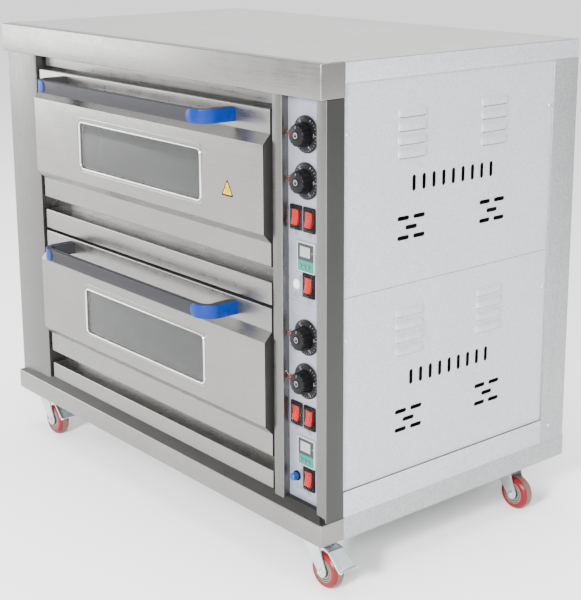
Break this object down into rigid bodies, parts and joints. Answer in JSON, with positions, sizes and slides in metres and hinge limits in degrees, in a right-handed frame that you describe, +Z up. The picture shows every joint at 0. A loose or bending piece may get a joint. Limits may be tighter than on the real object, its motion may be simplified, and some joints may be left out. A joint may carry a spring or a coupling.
{
  "type": "deck oven",
  "caption": "Electric bakery oven: stacked baking chambers in a steel cabinet on swivel casters, each with a drop-down glazed door, heat dials, switches and a timer.",
  "frame": {"origin": "on the floor, under the centre of the whole outline, handles and brake pedals included", "axes": "+Z up, -Y out of the front (the doors), +X to the right as seen from the front"},
  "size_m": [1.258, 0.807, 1.067],
  "materials": {
    "stainless": "brushed, satin",
    "galvanised": "spangled zinc, semi-matt",
    "liner_steel": "mill finish",
    "wool": "mineral wool",
    "element_steel": "oxidised tube",
    "window_glass": "clear toughened",
    "grip_plastic": "fine grain",
    "panel_enamel": "satin, lilac grey",
    "black_plastic": "satin",
    "red_lens": "gloss",
    "red_rocker": "gloss",
    "clear_cover": "clear",
    "timer_plastic": "satin",
    "key_plastic": "satin",
    "blue_plastic": "gloss",
    "zinc_plate": "bright zinc",
    "red_tyre": "polyurethane",
    "rubber": "matt"
  },
  "bodies": {
    "cabinet": {"base_tray": "galvanised", "front_fascias": "stainless", "front_pillars": "stainless", "centre_stile": "stainless", "roof_panel": "stainless", "side_rails": "galvanised", "rear_posts": "galvanised", "side_panels": "galvanised", "back_panels": "galvanised", "screws": "zinc_plate", "deck_fronts": "stainless", "upper_chamber": "liner_steel", "lower_chamber": "liner_steel", "hearth_plates": "liner_steel", "heating_elements": "element_steel", "insulation": "wool", "control_panels": "panel_enamel", "indicator_lamps": "red_lens", "switch_housings": "black_plastic", "switch_covers": "clear_cover", "timer_units": "timer_plastic", "thermostats": "black_plastic", "cable_grommet": "rubber", "hinge_brackets": "zinc_plate", "caster_plates": "zinc_plate"},
    "upper_door": {"upper_door_skin": "stainless", "upper_door_liner": "liner_steel", "upper_door_glass": "window_glass", "upper_door_handle": "grip_plastic"},
    "lower_door": {"lower_door_skin": "stainless", "lower_door_liner": "liner_steel", "lower_door_glass": "window_glass", "lower_door_handle": "grip_plastic"},
    "upper_top_heat_knob": {"upper_top_heat_knob": "black_plastic"},
    "upper_bottom_heat_knob": {"upper_bottom_heat_knob": "black_plastic"},
    "upper_top_heat_rocker": {"upper_top_heat_rocker": "red_rocker"},
    "upper_bottom_heat_rocker": {"upper_bottom_heat_rocker": "red_rocker"},
    "upper_power_rocker": {"upper_power_rocker": "red_rocker"},
    "upper_timer_set_key": {"upper_timer_set_key": "key_plastic"},
    "upper_timer_up_key": {"upper_timer_up_key": "key_plastic"},
    "upper_timer_down_key": {"upper_timer_down_key": "key_plastic"},
    "lower_top_heat_knob": {"lower_top_heat_knob": "black_plastic"},
    "lower_bottom_heat_knob": {"lower_bottom_heat_knob": "black_plastic"},
    "lower_top_heat_rocker": {"lower_top_heat_rocker": "red_rocker"},
    "lower_bottom_heat_rocker": {"lower_bottom_heat_rocker": "red_rocker"},
    "lower_power_rocker": {"lower_power_rocker": "red_rocker"},
    "lower_timer_set_key": {"lower_timer_set_key": "key_plastic"},
    "lower_timer_up_key": {"lower_timer_up_key": "key_plastic"},
    "lower_timer_down_key": {"lower_timer_down_key": "key_plastic"},
    "push_button": {"push_button": "blue_plastic"},
    "front_left_caster_fork": {"front_left_caster_fork": "zinc_plate"},
    "front_left_caster_wheel": {"front_left_caster_wheel": "red_tyre"},
    "front_left_brake_pedal": {"front_left_brake_pedal": "zinc_plate"},
    "front_right_caster_fork": {"front_right_caster_fork": "zinc_plate"},
    "front_right_caster_wheel": {"front_right_caster_wheel": "red_tyre"},
    "front_right_brake_pedal": {"front_right_brake_pedal": "zinc_plate"},
    "rear_left_caster_fork": {"rear_left_caster_fork": "zinc_plate"},
    "rear_left_caster_wheel": {"rear_left_caster_wheel": "red_tyre"},
    "rear_right_caster_fork": {"rear_right_caster_fork": "zinc_plate"},
    "rear_right_caster_wheel": {"rear_right_caster_wheel": "red_tyre"}
  },
  "joints": [
    {"name": "upper_door_hinge", "type": "hinge", "parent": "cabinet", "child": "upper_door", "pos_m": [-0.031, -0.2985, 0.654], "axis": [1, 0, 0], "range_deg": [0, 90], "stiffness_Nm_per_rad": 5, "springref_deg": -34.38},
    {"name": "upper_top_heat_knob_turn", "type": "hinge", "parent": "cabinet", "child": "upper_top_heat_knob", "pos_m": [0.514, -0.3085, 0.9255], "axis": [0, 1, 0], "range_deg": [0, 300]},
    {"name": "upper_bottom_heat_knob_turn", "type": "hinge", "parent": "cabinet", "child": "upper_bottom_heat_knob", "pos_m": [0.514, -0.3085, 0.835], "axis": [0, 1, 0], "range_deg": [0, 300]},
    {"name": "upper_top_heat_rocker_tip", "type": "hinge", "parent": "cabinet", "child": "upper_top_heat_rocker", "pos_m": [0.483, -0.3055, 0.759], "axis": [1, 0, 0], "range_deg": [0, 14]},
    {"name": "upper_bottom_heat_rocker_tip", "type": "hinge", "parent": "cabinet", "child": "upper_bottom_heat_rocker", "pos_m": [0.523, -0.3055, 0.759], "axis": [1, 0, 0], "range_deg": [0, 14]},
    {"name": "upper_power_rocker_tip", "type": "hinge", "parent": "cabinet", "child": "upper_power_rocker", "pos_m": [0.521, -0.3055, 0.628], "axis": [1, 0, 0], "range_deg": [0, 14]},
    {"name": "upper_timer_set_key_press", "type": "slide", "parent": "cabinet", "child": "upper_timer_set_key", "axis": [0, 1, 0], "range_m": [0, 0.0008], "stiffness_N_per_m": 400},
    {"name": "upper_timer_up_key_press", "type": "slide", "parent": "cabinet", "child": "upper_timer_up_key", "axis": [0, 1, 0], "range_m": [0, 0.0008], "stiffness_N_per_m": 400},
    {"name": "upper_timer_down_key_press", "type": "slide", "parent": "cabinet", "child": "upper_timer_down_key", "axis": [0, 1, 0], "range_m": [0, 0.0008], "stiffness_N_per_m": 400},
    {"name": "lower_door_hinge", "type": "hinge", "parent": "cabinet", "child": "lower_door", "pos_m": [-0.031, -0.2985, 0.25], "axis": [1, 0, 0], "range_deg": [0, 90], "stiffness_Nm_per_rad": 5, "springref_deg": -34.38},
    {"name": "lower_top_heat_knob_turn", "type": "hinge", "parent": "cabinet", "child": "lower_top_heat_knob", "pos_m": [0.514, -0.3085, 0.5215], "axis": [0, 1, 0], "range_deg": [0, 300]},
    {"name": "lower_bottom_heat_knob_turn", "type": "hinge", "parent": "cabinet", "child": "lower_bottom_heat_knob", "pos_m": [0.514, -0.3085, 0.431], "axis": [0, 1, 0], "range_deg": [0, 300]},
    {"name": "lower_top_heat_rocker_tip", "type": "hinge", "parent": "cabinet", "child": "lower_top_heat_rocker", "pos_m": [0.483, -0.3055, 0.355], "axis": [1, 0, 0], "range_deg": [0, 14]},
    {"name": "lower_bottom_heat_rocker_tip", "type": "hinge", "parent": "cabinet", "child": "lower_bottom_heat_rocker", "pos_m": [0.523, -0.3055, 0.355], "axis": [1, 0, 0], "range_deg": [0, 14]},
    {"name": "lower_power_rocker_tip", "type": "hinge", "parent": "cabinet", "child": "lower_power_rocker", "pos_m": [0.521, -0.3055, 0.224], "axis": [1, 0, 0], "range_deg": [0, 14]},
    {"name": "lower_timer_set_key_press", "type": "slide", "parent": "cabinet", "child": "lower_timer_set_key", "axis": [0, 1, 0], "range_m": [0, 0.0008], "stiffness_N_per_m": 400},
    {"name": "lower_timer_up_key_press", "type": "slide", "parent": "cabinet", "child": "lower_timer_up_key", "axis": [0, 1, 0], "range_m": [0, 0.0008], "stiffness_N_per_m": 400},
    {"name": "lower_timer_down_key_press", "type": "slide", "parent": "cabinet", "child": "lower_timer_down_key", "axis": [0, 1, 0], "range_m": [0, 0.0008], "stiffness_N_per_m": 400},
    {"name": "push_button_press", "type": "slide", "parent": "cabinet", "child": "push_button", "axis": [0, 1, 0], "range_m": [0, 0.003], "stiffness_N_per_m": 300},
    {"name": "front_left_swivel", "type": "hinge", "parent": "cabinet", "child": "front_left_caster_fork", "pos_m": [-0.559, -0.2925, 0.108], "axis": [0, 0, 1], "continuous": true},
    {"name": "front_left_wheel_spin", "type": "hinge", "parent": "front_left_caster_fork", "child": "front_left_caster_wheel", "pos_m": [-0.519, -0.2925, 0.038], "axis": [0, 1, 0], "continuous": true},
    {"name": "front_left_brake_pedal_press", "type": "hinge", "parent": "front_left_caster_fork", "child": "front_left_brake_pedal", "pos_m": [-0.539, -0.2925, 0.0877], "axis": [0, 1, 0], "range_deg": [0, 8]},
    {"name": "front_right_swivel", "type": "hinge", "parent": "cabinet", "child": "front_right_caster_fork", "pos_m": [0.521, -0.2925, 0.108], "axis": [0, 0, 1], "continuous": true},
    {"name": "front_right_wheel_spin", "type": "hinge", "parent": "front_right_caster_fork", "child": "front_right_caster_wheel", "pos_m": [0.561, -0.2925, 0.038], "axis": [0, 1, 0], "continuous": true},
    {"name": "front_right_brake_pedal_press", "type": "hinge", "parent": "front_right_caster_fork", "child": "front_right_brake_pedal", "pos_m": [0.541, -0.2925, 0.0877], "axis": [0, 1, 0], "range_deg": [0, 8]},
    {"name": "rear_left_swivel", "type": "hinge", "parent": "cabinet", "child": "rear_left_caster_fork", "pos_m": [-0.559, 0.2815, 0.108], "axis": [0, 0, 1], "continuous": true},
    {"name": "rear_left_wheel_spin", "type": "hinge", "parent": "rear_left_caster_fork", "child": "rear_left_caster_wheel", "pos_m": [-0.519, 0.2815, 0.038], "axis": [0, 1, 0], "continuous": true},
    {"name": "rear_right_swivel", "type": "hinge", "parent": "cabinet", "child": "rear_right_caster_fork", "pos_m": [0.521, 0.2815, 0.108], "axis": [0, 0, 1], "continuous": true},
    {"name": "rear_right_wheel_spin", "type": "hinge", "parent": "rear_right_caster_fork", "child": "rear_right_caster_wheel", "pos_m": [0.561, 0.2815, 0.038], "axis": [0, 1, 0], "continuous": true}
  ]
}
